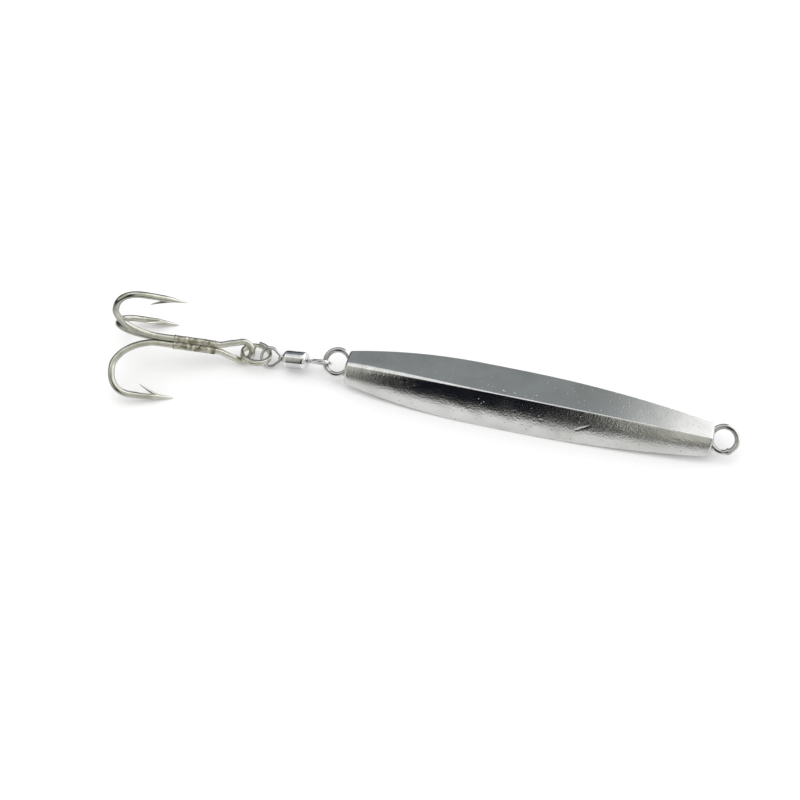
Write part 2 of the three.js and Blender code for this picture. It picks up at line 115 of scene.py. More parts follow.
camera = placed("camera", bpy.data.cameras.new("camera"))
camera.data.sensor_width = 36.0
camera.data.lens = LENS_MM
camera.data.clip_start, camera.data.clip_end = 0.01, 60.0
camera.location = np.array(AIM) + DISTANCE * back
camera.rotation_euler = (math.pi / 2 - ELEVATION, 0.0, AZIMUTH)
bpy.context.scene.camera = camera
print("camera at, m:", [round(v, 3) for v in camera.location])

# %% [markdown]
# ## The studio
# Bright metal has almost no colour of its own: it shows the room. So the room is designed first.
# The jig lies on white paper, under one large round soft light, high up on the hook end's side. Behind
# it are a grey wall, dark at its foot, and a window towards the line end; in front is the dark of the
# room. Each of these turns up on the metal. The soft light is the bright line along the ridge, the wall
# is the grey of the upper facet, and the dark room and the white paper share the front facet.
# A real sheet of paper is small, and past its edge the metal mirrors a dark table. So the paper here is
# endless to the eye, and where it is only seen mirrored in the metal its colour is a painted reflection:
# bright near the jig, dark with distance.
# The wall and the dark are drawn in the world's own shader, from the direction of each ray, because
# they then need no objects. The paper itself is lit evenly from everywhere, so its shadows stay soft.
# A ray that comes straight from the camera sees only pale paper, whichever way the camera turns.

# %% Paper, lights and surroundings
PAPER_SIZE = 14.0
# painted reflection: the paper's colour as the metal mirrors it is painted bright out to PAPER_BRIGHT
# and dark past PAPER_DARK
PAPER_BRIGHT, PAPER_DARK = 0.03, 0.13  # how far out the metal mirrors bright paper, metres
PAINTED_REFLECTION_NEAR, PAINTED_REFLECTION_FAR = 0.82, 0.02  # how bright it is there
PAINTED_REFLECTION_STRETCH = (0.55, 1.0, 1.0)  # the bright patch is wider along the jig
scene = bpy.context.scene
scene.view_settings.view_transform = "Standard"


def node(tree, kind, inputs=None, **settings):
    """Adds a shader node, applies its settings, and links or sets its inputs by name or number."""
    made = tree.nodes.new("ShaderNode" + kind)
    for key, value in settings.items():
        setattr(made, key, value)
    for key, value in (inputs or {}).items():
        if isinstance(value, bpy.types.NodeSocket):
            tree.links.new(value, made.inputs[key])
        else:
            made.inputs[key].default_value = value
    return made


def grey(value):
    return (value, value, value, 1.0)


def ramp(tree, factor, stops):
    """A colour ramp with stops given as (place, colour or grey)."""
    made = node(tree, "ValToRGB", {"Fac": factor})
    made.color_ramp.interpolation = "LINEAR"
    points = made.color_ramp.elements
    while len(points) < len(stops):
        points.new(0.5)
    for point, (place, colour) in zip(points, stops):
        point.position = place
        point.color = colour if isinstance(colour, tuple) else grey(colour)
    return made.outputs["Color"]


def arithmetic(tree, operation, a, b=0.0, c=0.0):
    return node(tree, "Math", {0: a, 1: b, 2: c}, operation=operation).outputs["Value"]


def noise(tree, place, scale, detail, **more):
    """Smooth noise from 0 to 1."""
    inputs = {"Vector": place, "Scale": scale, "Detail": detail, **more}
    return node(tree, "TexNoise", inputs).outputs["Fac"]


def smooth_range(tree, value, low, high, to_low=0.0, to_high=1.0):
    """A value eased from to_low, where it is low, to to_high, where it is high."""
    return node(tree, "MapRange", {"Value": value, "From Min": low, "From Max": high,
            "To Min": to_low, "To Max": to_high},
                interpolation_type="SMOOTHSTEP").outputs["Result"]


def blend(tree, factor, first, second):
    """The first colour where the factor is 0, and the second where it is 1."""
    return node(tree, "MixRGB", {"Fac": factor, "Color1": first,
            "Color2": second}).outputs["Color"]


paper_mesh = bpy.data.meshes.new("paper")
half = PAPER_SIZE / 2
paper_mesh.from_pydata([(-half, -half, 0), (half, -half, 0), (half, half, 0), (-half, half, 0)], [],
                       [(0, 1, 2, 3)])
paper = placed("paper", paper_mesh)
paper_finish = bpy.data.materials.new("white_paper")
paper_finish.use_nodes = True
tree = paper_finish.node_tree
shader = tree.nodes["Principled BSDF"]
shader.inputs["Roughness"].default_value = 0.9
shader.inputs["Specular IOR Level"].default_value = 0.1
place = node(tree, "TexCoord").outputs["Object"]
near = node(tree, "Mapping", {"Vector": place, "Scale": PAINTED_REFLECTION_STRETCH})
distance = node(tree, "VectorMath", {0: near.outputs["Vector"]}, operation="LENGTH")
# painted reflection: only mirror rays see this colour, painted bright near the jig and dark farther out;
# the camera sees even pale paper
painted_reflection_paper = smooth_range(tree, distance.outputs["Value"], PAPER_BRIGHT, PAPER_DARK, PAINTED_REFLECTION_NEAR,
                        PAINTED_REFLECTION_FAR)
glossy = node(tree, "LightPath").outputs["Is Glossy Ray"]
seen = ramp(tree, noise(tree, place, 900.0, 4.0), [(0.3, 0.86), (0.7, 0.88)])
tree.links.new(blend(tree, glossy, seen, painted_reflection_paper), shader.inputs["Base Color"])
paper_mesh.materials.append(paper_finish)
paper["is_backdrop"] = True


def sun(name, strength, width_degrees, azimuth, elevation):
    """A round soft light, infinitely far away, seen from the table in the given direction."""
    lamp = placed(name, bpy.data.lights.new(name, "SUN"))
    lamp.data.energy = strength
    lamp.data.angle = math.radians(width_degrees)
    lamp.rotation_euler = (math.pi / 2 - math.radians(elevation), 0.0, math.radians(azimuth))
    return lamp


overhead = sun("overhead_softbox", 0.40, 50, azimuth=262, elevation=72)

FILL = 1.16  # soft light that only the paper sees, from everywhere
PAPER_WHITE = 0.97  # what a ray straight from the camera sees
WINDOW = 1.6  # brightness of the window behind, on the line end's side
CEILING = 0.40
SIDES = (0.66, 0.66, 0.60, 1)  # the room to either side of the dark
DARK = (0.008, 0.009, 0.014, 1)
# Where each part of the room begins and ends, as X, Y or Z of the ray's direction
REAR_FROM, REAR_TO = -0.35, 0.20  # Y, from the front of the room to its rear
WALL_FOOT, WALL_TOP = 0.18, 0.80  # Z, up the wall
DARK_TOP, CEILING_FROM = 0.74, 0.93  # Z, from the dark to the ceiling
DARK_MIDDLE = -0.155  # X
DARK_HALF, SIDES_FROM = 0.17, 0.30  # X, either way from the middle of the dark
WALL_END, WINDOW_FROM = 0.03, 0.22  # X
world = bpy.data.worlds.new("room")
scene.world = world
world.use_nodes = True
tree = world.node_tree
tree.nodes.clear()
ray = node(tree, "TexCoord").outputs["Generated"]
toward = node(tree, "SeparateXYZ", {"Vector": ray}).outputs
above = smooth_range(tree, toward["Z"], DARK_TOP, CEILING_FROM)
from_middle = arithmetic(tree, "ABSOLUTE", arithmetic(tree, "ADD", toward["X"], -DARK_MIDDLE))
front = blend(tree, smooth_range(tree, from_middle, DARK_HALF, SIDES_FROM),
              ramp(tree, above, [(0.0, DARK), (1, CEILING)]), SIDES)
wall = ramp(tree, smooth_range(tree, toward["Z"], WALL_FOOT, WALL_TOP),
            [(0.0, (0.05, 0.05, 0.055, 1)), (0.12, (0.09, 0.09, 0.10, 1)),
             (0.5, (0.32, 0.345, 0.355, 1)), (1.0, (0.33, 0.355, 0.365, 1))])
rear = blend(tree, smooth_range(tree, toward["X"], WALL_END, WINDOW_FROM), wall, grey(WINDOW))
room = blend(tree, smooth_range(tree, toward["Y"], REAR_FROM, REAR_TO), front, rear)
path = node(tree, "LightPath").outputs
lit = blend(tree, path["Is Diffuse Ray"], room, grey(FILL))
shown = blend(tree, path["Is Camera Ray"], lit, grey(PAPER_WHITE))
glow = node(tree, "Background", {"Color": shown, "Strength": 1.0})
node(tree, "OutputWorld", {"Surface": glow.outputs["Background"]})
print("light:", overhead.name)

# %% [markdown]
# ## Effects that several finishes share
# A casting, a plated wire and a tinned hook look different, but the same three things happen to all of
# them: the surface has a fine grain, it dulls in soft patches, and it is pitted here and there.
# Each effect is one shader node group with named inputs, so a finish only has to say how large and how
# strong. The groups put out masks and heights, and leave the metal itself to each material.

# %% Shared node groups


def new_group(name, inputs, outputs):
    """A node group with float or vector inputs, given as {name: default}, and float outputs."""
    tree = bpy.data.node_groups.new(name, "ShaderNodeTree")
    tree.interface.new_socket("Place", in_out="INPUT", socket_type="NodeSocketVector")
    for label, value in inputs.items():
        socket = tree.interface.new_socket(label, in_out="INPUT", socket_type="NodeSocketFloat")
        socket.default_value = value
    for label in outputs:
        tree.interface.new_socket(label, in_out="OUTPUT", socket_type="NodeSocketFloat")
    return tree, tree.nodes.new("NodeGroupInput").outputs, tree.nodes.new("NodeGroupOutput").inputs


# Grain: two sizes of smooth bumps, as a casting takes from its mould
grain_group, given, put = new_group("metal_grain", {"Scale": 2000.0, "Coarse Share": 0.4}, ["Height"])
fine = noise(grain_group, given["Place"], given["Scale"], 3.0, Roughness=0.55)
coarse_scale = arithmetic(grain_group, "MULTIPLY", given["Scale"], 0.27)
coarse = noise(grain_group, given["Place"], coarse_scale, 2.0)
both = node(grain_group, "Mix", {"Factor": given["Coarse Share"], "A": fine, "B": coarse})
grain_group.links.new(both.outputs["Result"], put["Height"])

# Patches: soft clouds with finer mottling inside them, from 0 for clean to 1 for dull
patch_group, given, put = new_group("dull_patches", {"Scale": 120.0, "Amount": 0.5}, ["Mask"])
cloud = noise(patch_group, given["Place"], given["Scale"], 6.0, Roughness=0.62, Distortion=0.4)
PATCH_EDGE = 0.18  # half the width of a patch's soft edge
edge = arithmetic(patch_group, "SUBTRACT", 1.0, given["Amount"])
low = arithmetic(patch_group, "SUBTRACT", edge, PATCH_EDGE)
high = arithmetic(patch_group, "ADD", edge, PATCH_EDGE)
mask = node(patch_group, "MapRange", {"Value": cloud, "From Min": low,
        "From Max": high})
patch_group.links.new(mask.outputs["Result"], put["Mask"])

# Pits: small round hollows at scattered places, 1 in the middle of a pit and 0 outside
pit_group, given, put = new_group("scattered_pits", {"Scale": 400.0, "Size": 0.12}, ["Mask"])
cells = node(pit_group, "TexVoronoi", {"Vector": given["Place"], "Scale": given["Scale"],
        "Randomness": 1.0})
pit = smooth_range(pit_group, cells.outputs["Distance"], given["Size"], 0.0)
pit_group.links.new(pit, put["Mask"])
print("node groups:", [g.name for g in bpy.data.node_groups])

# %% [markdown]
# ## The finishes
# All of them are metal, so Metallic is 1 and what differs is the tint of the reflection, how blurred it
# is, and how the surface undulates. One recipe takes those values: two tints for clean and dull places,
# two roughnesses, and the depth of grain and pits. The casting and the brazing have the most grain; the
# cast-in rings are the darkest; the swivel is the smoothest; the hooks are tinned, a faint yellow.
# Every piece also carries a "worn" attribute, 1 on the edges that other things rub, where the finish
# is polished brighter. The casting has a "polished" one too, the share of the grain rubbed away.

# %% Metal recipe and finishes
WORN_SMOOTHING = 0.35  # how much less rough a worn place is
PIT_TINT = 0.12
DIE_LINES = (90.0, 3.0, 1.0)  # lines round a wire, and breaks along it


def metal_finish(name, clean, dull, smooth, blurred, patch_scale, patch_amount, grain_scale,
                 grain_depth, pit_scale=420.0, pit_size=0.0, pit_depth=0.0, worn_tint=None,
                 drawn=0.0):
    """Metal with dull patches, grain, pits and polished edges.
    clean and dull are tints, smooth and blurred are roughnesses, depths are in metres, and drawn is
    the strength of the fine lines that a die leaves along a wire."""
    finish = bpy.data.materials.new(name)
    finish.use_nodes = True
    tree = finish.node_tree
    shader = tree.nodes["Principled BSDF"]
    shader.inputs["Metallic"].default_value = 1.0
    coordinates = node(tree, "TexCoord").outputs
    place = coordinates["Object"]
    mask = node(tree, "Group", {"Place": place, "Scale": patch_scale,
            "Amount": patch_amount}, node_tree=patch_group).outputs["Mask"]
    grain = node(tree, "Group", {"Place": place, "Scale": grain_scale},
                 node_tree=grain_group).outputs["Height"]
    pits = node(tree, "Group", {"Place": place, "Scale": pit_scale, "Size": pit_size},
                node_tree=pit_group).outputs["Mask"]
    worn = node(tree, "Attribute", attribute_name="worn").outputs["Fac"]
    polished = node(tree, "Attribute", attribute_name="polished").outputs["Fac"]

    rubbed = blend(tree, worn, blend(tree, mask, (*clean, 1), (*dull, 1)), (*(worn_tint or clean), 1))
    tree.links.new(blend(tree, pits, rubbed, grey(PIT_TINT)), shader.inputs["Base Color"])

    blur = node(tree, "MapRange", {"Value": mask, "To Min": smooth, "To Max": blurred})
    left_rough = arithmetic(tree, "MULTIPLY_ADD", worn, -WORN_SMOOTHING, 1.0)
    tree.links.new(arithmetic(tree, "MULTIPLY", blur.outputs["Result"], left_rough),
                   shader.inputs["Roughness"])

    depth = arithmetic(tree, "MULTIPLY_ADD", polished, -grain_depth, grain_depth)
    height = arithmetic(tree, "ADD", arithmetic(tree, "MULTIPLY", grain, depth),
                        arithmetic(tree, "MULTIPLY", pits, -pit_depth))
    if drawn:
        drawn_out = node(tree, "Mapping", {"Vector": coordinates["UV"], "Scale": DIE_LINES})
        lines = noise(tree, drawn_out.outputs["Vector"], 1.0, 3.0)
        height = arithmetic(tree, "ADD", height, arithmetic(tree, "MULTIPLY", lines, drawn))
    bump = node(tree, "Bump", {"Height": height, "Distance": 1.0, "Strength": 1.0})
    tree.links.new(bump.outputs["Normal"], shader.inputs["Normal"])
    return finish


FINISH = {
    "plated_casting": metal_finish(
        "plated_casting", (0.66, 0.66, 0.65), (0.50, 0.50, 0.48), 0.09, 0.19, 70.0, 0.42,
        1700.0, 0.000045, pit_scale=620.0, pit_size=0.13, pit_depth=0.00006,
        worn_tint=(0.72, 0.72, 0.71)),
    "drawn_steel": metal_finish(
        "drawn_steel", (0.52, 0.52, 0.52), (0.34, 0.34, 0.33), 0.07, 0.18, 300.0, 0.45,
        3500.0, 0.0000035, drawn=0.000004, worn_tint=(0.88, 0.88, 0.87)),
    "nickel_plate": metal_finish(
        "nickel_plate", (0.62, 0.62, 0.63), (0.44, 0.44, 0.44), 0.06, 0.16, 350.0, 0.40,
        4200.0, 0.0000025, worn_tint=(0.92, 0.92, 0.91)),
    "split_wire": metal_finish(
        "split_wire", (0.62, 0.61, 0.55), (0.36, 0.35, 0.28), 0.12, 0.26, 320.0, 0.5,
        3000.0, 0.000005, worn_tint=(0.86, 0.86, 0.80)),
    "tinned_wire": metal_finish(
        "tinned_wire", (0.68, 0.675, 0.62), (0.44, 0.435, 0.37), 0.12, 0.25, 260.0, 0.48,
        2600.0, 0.000007, drawn=0.000003, worn_tint=(0.86, 0.86, 0.80)),
    "brazing_metal": metal_finish(
        "brazing_metal", (0.70, 0.69, 0.58), (0.13, 0.12, 0.08), 0.22, 0.5, 700.0, 0.52,
        1500.0, 0.00007, pit_scale=900.0, pit_size=0.26, pit_depth=0.00005,
        worn_tint=(0.84, 0.83, 0.74)),
}
print("finishes:", list(FINISH))

# %% [markdown]
# ## From a grid of points to a mesh
# Every piece here is a skin over rings of points. The rings are rows of one array, each row with the
# same number of points, and the faces between neighbouring rows follow from the row and column
# numbers alone. A row at an open end is closed with a fan to a point in its middle. A sum over the
# faces gives the volume inside, and if it comes out negative the faces are turned round, so a piece
# can never be inside out.

# %% Grid helpers
MM = 0.001


def skin(rows, worn=None, wrap=False):
    """The closed skin over rows[k, i], the point at step k along the shape and step i round it.
    Face (k, i) joins points (k, i), (k, i+1), (k+1, i+1) and (k+1, i), and i wraps round. With wrap,
    the last row joins the first; without it, each end gets a fan to the middle of its row.
    Returns points, faces as index rows, the place of each face corner in (round, along), and worn."""
    steps, sides = rows.shape[:2]
    k, i = np.meshgrid(np.arange(steps if wrap else steps - 1), np.arange(sides), indexing="ij")
    offsets = [(0, 0), (0, 1), (1, 1), (1, 0)]
    quads = np.stack([((k + a) % steps) * sides + (i + b) % sides for a, b in offsets], -1)
    spots = np.stack([np.stack([(i + b) / sides, (k + a) / steps], -1) for a, b in offsets], -2)
    faces, spots = [quads.reshape(-1, 4)], [spots.reshape(-1, 4, 2)]
    points = rows.reshape(-1, 3)
    worn = np.zeros(len(points)) if worn is None else np.broadcast_to(worn, (steps, sides)).ravel()
    if not wrap:
        points = np.vstack([points, rows[0].mean(0), rows[-1].mean(0)])
        worn = np.append(worn, [worn[:sides].mean(), worn[-sides:].mean()])
        ring = np.arange(sides)
        for pole, first, turn in ((len(points) - 2, 0, -1), (len(points) - 1, (steps - 1) * sides, 1)):
            ends = np.stack([ring, (ring + 1) % sides][::turn], -1) + first
            faces.append(np.column_stack([np.full(sides, pole), ends]))
            spots.append(np.stack([np.full((sides, 3), 0.5), np.full((sides, 3), float(turn > 0))], -1))
    a, b, c, d = (points[faces[0][:, j]] for j in range(4))
    volume = (np.cross(a, b) * c).sum() + (np.cross(a, c) * d).sum()
    if volume < 0:
        faces, spots = [f[:, ::-1] for f in faces], [s[:, ::-1] for s in spots]
    return points, faces, spots, worn


def make_piece(name, skins, finish, body, replaced=(), polished=None):
    """One object from several closed skins, with its finish, its body and the CAD nodes it replaces.
    polished, if given, says for each point how much of the grain has been polished away."""
    points, corners, counts, spots, worn, start = [], [], [], [], [], 0
    for skin_points, faces, face_spots, skin_worn in skins:
        points.append(skin_points)
        worn.append(skin_worn)
        for f, s in zip(faces, face_spots):
            corners.append((f + start).ravel())
            counts.append(np.full(len(f), f.shape[1]))
            spots.append(s.reshape(-1, 2))
        start += len(skin_points)
    points, corners, counts = np.vstack(points), np.concatenate(corners), np.concatenate(counts)
    mesh = bpy.data.meshes.new(name)
    mesh.vertices.add(len(points))
    mesh.vertices.foreach_set("co", (points * MM).astype(np.float32).ravel())
    mesh.loops.add(len(corners))
    mesh.loops.foreach_set("vertex_index", corners.astype(np.int32))
    mesh.polygons.add(len(counts))
    mesh.polygons.foreach_set("loop_start", (np.cumsum(counts) - counts).astype(np.int32))
    mesh.uv_layers.new(name="surface").data.foreach_set(
        "uv", np.vstack(spots).astype(np.float32).ravel())
    mesh.attributes.new("worn", "FLOAT", "POINT").data.foreach_set(
        "value", np.concatenate(worn).astype(np.float32))
    if polished is not None:
        mesh.attributes.new("polished", "FLOAT", "POINT").data.foreach_set(
            "value", polished.astype(np.float32))
    mesh.update(calc_edges=True)
    mesh.validate()
    mesh.shade_smooth()
    mesh.set_sharp_from_angle(angle=math.radians(38))
    mesh.materials.append(FINISH[finish])
    piece = placed(name, mesh)
    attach(piece, body)
    if replaced:
        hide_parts(*replaced)
    low, high = points.min(0), points.max(0)
    print(f"{name}: {len(counts)} faces, box {low.round(2)} to {high.round(2)} mm")
    for cad_node in replaced:
        node_low, node_high = (np.array(corner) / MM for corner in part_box(cad_node))
        print(f"    against {cad_node}: {(low - node_low).round(2)} {(high - node_high).round(2)}")


def unit(vector):
    vector = np.asarray(vector, float)
    return vector / np.linalg.norm(vector, axis=-1, keepdims=True)


def axes(along, across):
    """Three unit directions as rows: along, the part of across that is square to it, and the third."""
    x = unit(along)
    y = unit(across - np.dot(across, x) * x)
    return np.array([x, y, np.cross(x, y)])


def full_turn(count):
    """Even angles once round, without the last, which would be the first again."""
    return np.linspace(0, 2 * math.pi, count, endpoint=False)


def set_at(points, origin, directions):
    """Points in a piece's own axes, moved to where the piece lies."""
    return origin + points @ directions


def joint_place(name):
    """Where a joint is, in millimetres, and its axis."""
    return np.array(joints[name]["pos_m"]) / MM, unit(joints[name]["axis"])


print("grid helpers: skin, make_piece, axes, set_at, joint_place")

# %% [markdown]
# ## Wire
# Rings, eyes and hooks are all bent wire. A wire is a circle carried along a path. The path is a smooth
# curve through a few chosen points, cut into even steps. At each step the circle needs two directions
# square to the path; they are carried forward from the step before and only tipped as far as the path
# turns, so the wire never twists. Blender's own bevelled curves do the same, but a grid of points also
# takes a nub, a cut or a needle point, because its radius may differ at every step and every angle.

# %% Wire helpers


def flowing(points, steps):
    """Evenly spaced points on a smooth curve through the given ones: on each span, a cubic whose end
    slopes come from the neighbouring points, weighted by the square root of their distances."""
    p = np.asarray(points, float)
    p = np.vstack([2 * p[0] - p[1], p, 2 * p[-1] - p[-2]])
    gap = np.sqrt(np.linalg.norm(np.diff(p, axis=0), axis=1))[:, None]
    before, here, after = gap[:-2], gap[1:-1], gap[2:]
    a, b, c, d = p[:-3], p[1:-2], p[2:-1], p[3:]
    start = ((b - a) / before - (c - a) / (before + here) + (c - b) / here) * here
    end = ((c - b) / here - (d - b) / (here + after) + (d - c) / after) * here
    t = np.linspace(0, 1, 60, endpoint=False)[None, :, None]
    b, c, start, end = (v[:, None] for v in (b, c, start, end))
    curve = ((2 * t**3 - 3 * t**2 + 1) * b + (t**3 - 2 * t**2 + t) * start
             + (3 * t**2 - 2 * t**3) * c + (t**3 - t**2) * end).reshape(-1, 3)
    curve = np.vstack([curve, p[-2]])
    run = np.append(0, np.cumsum(np.linalg.norm(np.diff(curve, axis=0), axis=1)))
    even = np.linspace(0, run[-1], steps + 1)
    return np.column_stack([np.interp(even, run, curve[:, j]) for j in range(3)]), even


def rings_along(path, radius, sides, first_side=(0, 0, 1)):
    """Circles of points round a path, in planes square to it. radius is a number, or an array that
    gives one for each step, or one for each step and angle."""
    tangent = unit(np.gradient(path, axis=0))
    side = np.empty_like(path)
    side[0] = first_side
    for k in range(len(path)):
        carried = side[max(k - 1, 0)]
        side[k] = carried - tangent[k] * carried.dot(tangent[k])
        side[k] /= np.linalg.norm(side[k])
    other = np.cross(tangent, side)
    turn = full_turn(sides)
    radius = np.broadcast_to(np.reshape(radius, (-1, 1)) if np.ndim(radius) < 2 else radius,
            (len(path), sides))
    return (path[:, None] + (radius * np.cos(turn))[..., None] * side[:, None]
            + (radius * np.sin(turn))[..., None] * other[:, None])


def lathe(profile, sides):
    """A profile of (radius, along) turned round the X axis."""
    profile = np.asarray(profile, float)
    turn = full_turn(sides)
    r, x = profile[:, :1], profile[:, 1:]
    return np.stack([np.broadcast_to(x, (len(profile), sides)), r * np.cos(turn), r * np.sin(turn)], -1)


print("wire helpers: flowing, rings_along, lathe")

# %% [markdown]
# ## The body
# The body is a lead casting, four-sided in section, widest in the middle and narrowing to a blunt end
# each way, and it lies on one of its four facets. It could be modelled as a box, tapered and bevelled.
# Instead each section is worked out as a rhombus with rounded corners, because the casting isn't
# regular: the ridges are rounder near the hook end, the facets are very slightly crowned from polishing,
# and the surface undulates. Those three departures decide where the room's reflections break, so they
# are real geometry. So are the few knocks, specks and the scratch that handling has left.

# %% Body dimensions and section
BODY_WIDTH, BODY_DEPTH = 19.1, 12.4
HOOK_REACH, LINE_REACH, STRAIGHT_HALF = 46.0, 64.0, 5.5
HOOK_END_WIDTH, LINE_END_WIDTH = 10.2, 10.0
HOOK_POWER, LINE_POWER = 2.0, 2.05
END_ROUND = 0.9
PARTING_ROUND = 0.4
RIDGE_ROUND, RIDGE_ROUND_HOOK = 0.80, 4.6  # in the middle, and at the hook end
RIDGE_ROUND_POWER = 1.6  # how late the ridge turns rounder, towards that end
CROWN = 0.20  # how far the facets off the table bulge
STATION_POWER = 1.18  # above 1, the stations crowd towards the ends

LEAN = math.atan2(BODY_DEPTH, BODY_WIDTH)
SIDE = math.hypot(BODY_WIDTH, BODY_DEPTH) / 2
AXIS_Z = BODY_WIDTH * BODY_DEPTH / 4 / SIDE
AXIS_Y = (BODY_WIDTH * math.cos(LEAN) - BODY_DEPTH * math.sin(LEAN)) / 4
PARTING = np.array([0, math.cos(LEAN), math.sin(LEAN)])
RIDGE = np.array([0, -math.sin(LEAN), math.cos(LEAN)])


def body_stations(count):
    """Places along the body, packed closer near its ends, and the share of the full section at each:
    one less a power of the way out, less the rounding of the end face."""
    s = np.linspace(-1, 1, count)
    s = np.sign(s) * (1 - (1 - np.abs(s)) ** STATION_POWER)
    lengths = np.where(s < 0, HOOK_REACH, LINE_REACH)
    straight = s * lengths
    power = np.where(s < 0, HOOK_POWER, LINE_POWER)
    end_share = np.where(s < 0, HOOK_END_WIDTH, LINE_END_WIDTH) / BODY_WIDTH
    run = np.clip(np.abs(straight) - STRAIGHT_HALF, 0, None) / (lengths - STRAIGHT_HALF)
    share = 1 - (1 - end_share) * run**power
    into_end = np.clip(np.abs(straight) - (lengths - END_ROUND), 0, END_ROUND) / END_ROUND
    inset = END_ROUND * (1 - np.sqrt(np.clip(1 - into_end**2, 0, None)))
    return straight, share - inset / AXIS_Z


def body_section(x, arc_steps=14, flat_steps=34):
    """For each place x, a loop of (across, up) round a rhombus with rounded corners. A corner is an arc
    whose centre is set back so that it touches both facets; a facet runs straight between two arcs,
    plus the crown, a parabola that is highest in its middle. Also gives the facet number, the place
    across the facet from 0 to 1, and how near to a corner each point is."""
    out = np.clip(-x / HOOK_REACH, 0, 1) ** RIDGE_ROUND_POWER
    ridge = RIDGE_ROUND + (RIDGE_ROUND_HOOK - RIDGE_ROUND) * out
    corners = [((BODY_WIDTH / 2, 0), 0.0, LEAN, PARTING_ROUND + 0 * x),
               ((0, BODY_DEPTH / 2), math.pi / 2, math.pi / 2 - LEAN, ridge),
               ((-BODY_WIDTH / 2, 0), math.pi, LEAN, PARTING_ROUND + 0 * x),
               ((0, -BODY_DEPTH / 2), 1.5 * math.pi, math.pi / 2 - LEAN, ridge)]
    arcs = []
    for at, middle, half_angle, rounding in corners:
        angle = middle + (math.pi / 2 - half_angle) * np.linspace(-1, 1, arc_steps)
        back_off = rounding / math.sin(half_angle)
        centre = np.array(at) - back_off[:, None] * np.array([math.cos(middle), math.sin(middle)])
        arcs.append(centre[:, None] + rounding[:, None, None]
                    * np.stack([np.cos(angle), np.sin(angle)], -1))
    loop, facet, place, corner = [], [], [], []
    crowns = [CROWN, CROWN, 0.0, CROWN]  # after corners 0 to 3; the third lies on the table
    t = np.linspace(0, 1, flat_steps + 2)[1:-1]
    for c in range(4):
        start, end = arcs[c][:, -1:], arcs[(c + 1) % 4][:, :1]
        run = end - start
        normal = unit(np.stack([run[..., 1], -run[..., 0]], -1))
        flat = start + t[None, :, None] * run + normal * (crowns[c] * 4 * t * (1 - t))[None, :, None]
        loop += [arcs[c], flat]
        facet.append(np.concatenate([np.full(arc_steps, -1), np.full(flat_steps, c)]))
        place.append(np.concatenate([np.full(arc_steps, 0.5), t]))
        corner.append(np.concatenate([np.ones(arc_steps), np.zeros(flat_steps)]))
    return np.concatenate(loop, 1), *(np.concatenate(v) for v in (facet, place, corner))


print(f"body: {BODY_WIDTH} by {BODY_DEPTH} mm, {HOOK_REACH + LINE_REACH} mm long")

# %% Body surface
BODY_ROWS = 430
FRONT, REAR_TOP, UNDER = 1, 0, 2  # facet numbers from body_section
SWELLS, SWELL_DEPTH = 14, 0.0014  # slow swells of the mould
SPECK_HEIGHT = 0.11
SPECKS = [(2.5, 0.84, 0.55), (3.2, 0.66, 0.40), (5.8, 0.86, 0.5), (11.5, 0.80, 0.45)]
KNOCKS = 34
SCRATCH_FROM, SCRATCH_TO = (24.0, 0.62), (29.5, 0.30)
SCRATCH_DEPTH, SCRATCH_RADIUS = 0.055, 0.30
TOP_POLISH = 0.72  # share of the grain gone from the rear upper facet
x, share = body_stations(BODY_ROWS)
section, facet, place_across, corner = body_section(x)
across = section[..., 0] * share[:, None]
up = section[..., 1] * share[:, None]
print("body points:", across.shape, "facet 0 runs from the upper parting edge to the ridge")

waves = np.random.default_rng(11)
undulation = np.zeros_like(across)
for _ in range(SWELLS):
    length, sideways, phase = waves.uniform(9, 34), waves.uniform(5, 16), waves.uniform(0, 6.28)
    undulation += np.sin(2 * math.pi * (x[:, None] / length + across / sideways) + phase)
undulation *= SWELL_DEPTH * (facet != UNDER)


def spot_on(facet_number, at_x, at_across, radius):
    """A round falloff, 1 at the middle and 0 at the radius, on one facet."""
    width = SIDE * share[:, None]
    away = np.hypot(x[:, None] - at_x, (place_across[None, :] - at_across) * width)
    return np.clip(1 - (away / radius) ** 2, 0, 1) ** 2 * (facet == facet_number)


def groove_on(facet_number, start, end, radius):
    """A falloff round a straight line on one facet, from start to end as (x, place across)."""
    width = SIDE * share[:, None]
    px = np.broadcast_to(x[:, None], across.shape)
    py = np.broadcast_to(place_across[None, :], across.shape) * width
    a = np.array([start[0], start[1] * SIDE])
    b = np.array([end[0], end[1] * SIDE])
    run = b - a
    t = np.clip(((px - a[0]) * run[0] + (py - a[1]) * run[1]) / (run @ run), 0, 1)
    away = np.hypot(px - a[0] - t * run[0], py - a[1] - t * run[1])
    fade = np.sin(math.pi * np.clip(t, 0.02, 0.98))
    return np.clip(1 - (away / radius) ** 2, 0, 1) * fade * (facet == facet_number)


marks = np.zeros_like(across)
for at_x, at_across, radius in SPECKS:  # crumbs of lead on the rear upper facet, near the ridge
    marks += SPECK_HEIGHT * spot_on(REAR_TOP, at_x, at_across, radius)
knocks = np.random.default_rng(5)
for _ in range(KNOCKS):
    marks -= knocks.uniform(0.012, 0.035) * spot_on(
        int(knocks.integers(0, 2)), knocks.uniform(-43, 61), knocks.uniform(0.06, 0.94),
        knocks.uniform(0.25, 0.5))
marks -= SCRATCH_DEPTH * groove_on(FRONT, SCRATCH_FROM, SCRATCH_TO, SCRATCH_RADIUS)
section_normal = unit(np.stack([up - np.roll(up, 1, 1), -(across - np.roll(across, 1, 1))], -1))
section_normal = unit(section_normal + np.roll(section_normal, -1, 1))
across = across + section_normal[..., 0] * (undulation + marks)
up = up + section_normal[..., 1] * (undulation + marks)

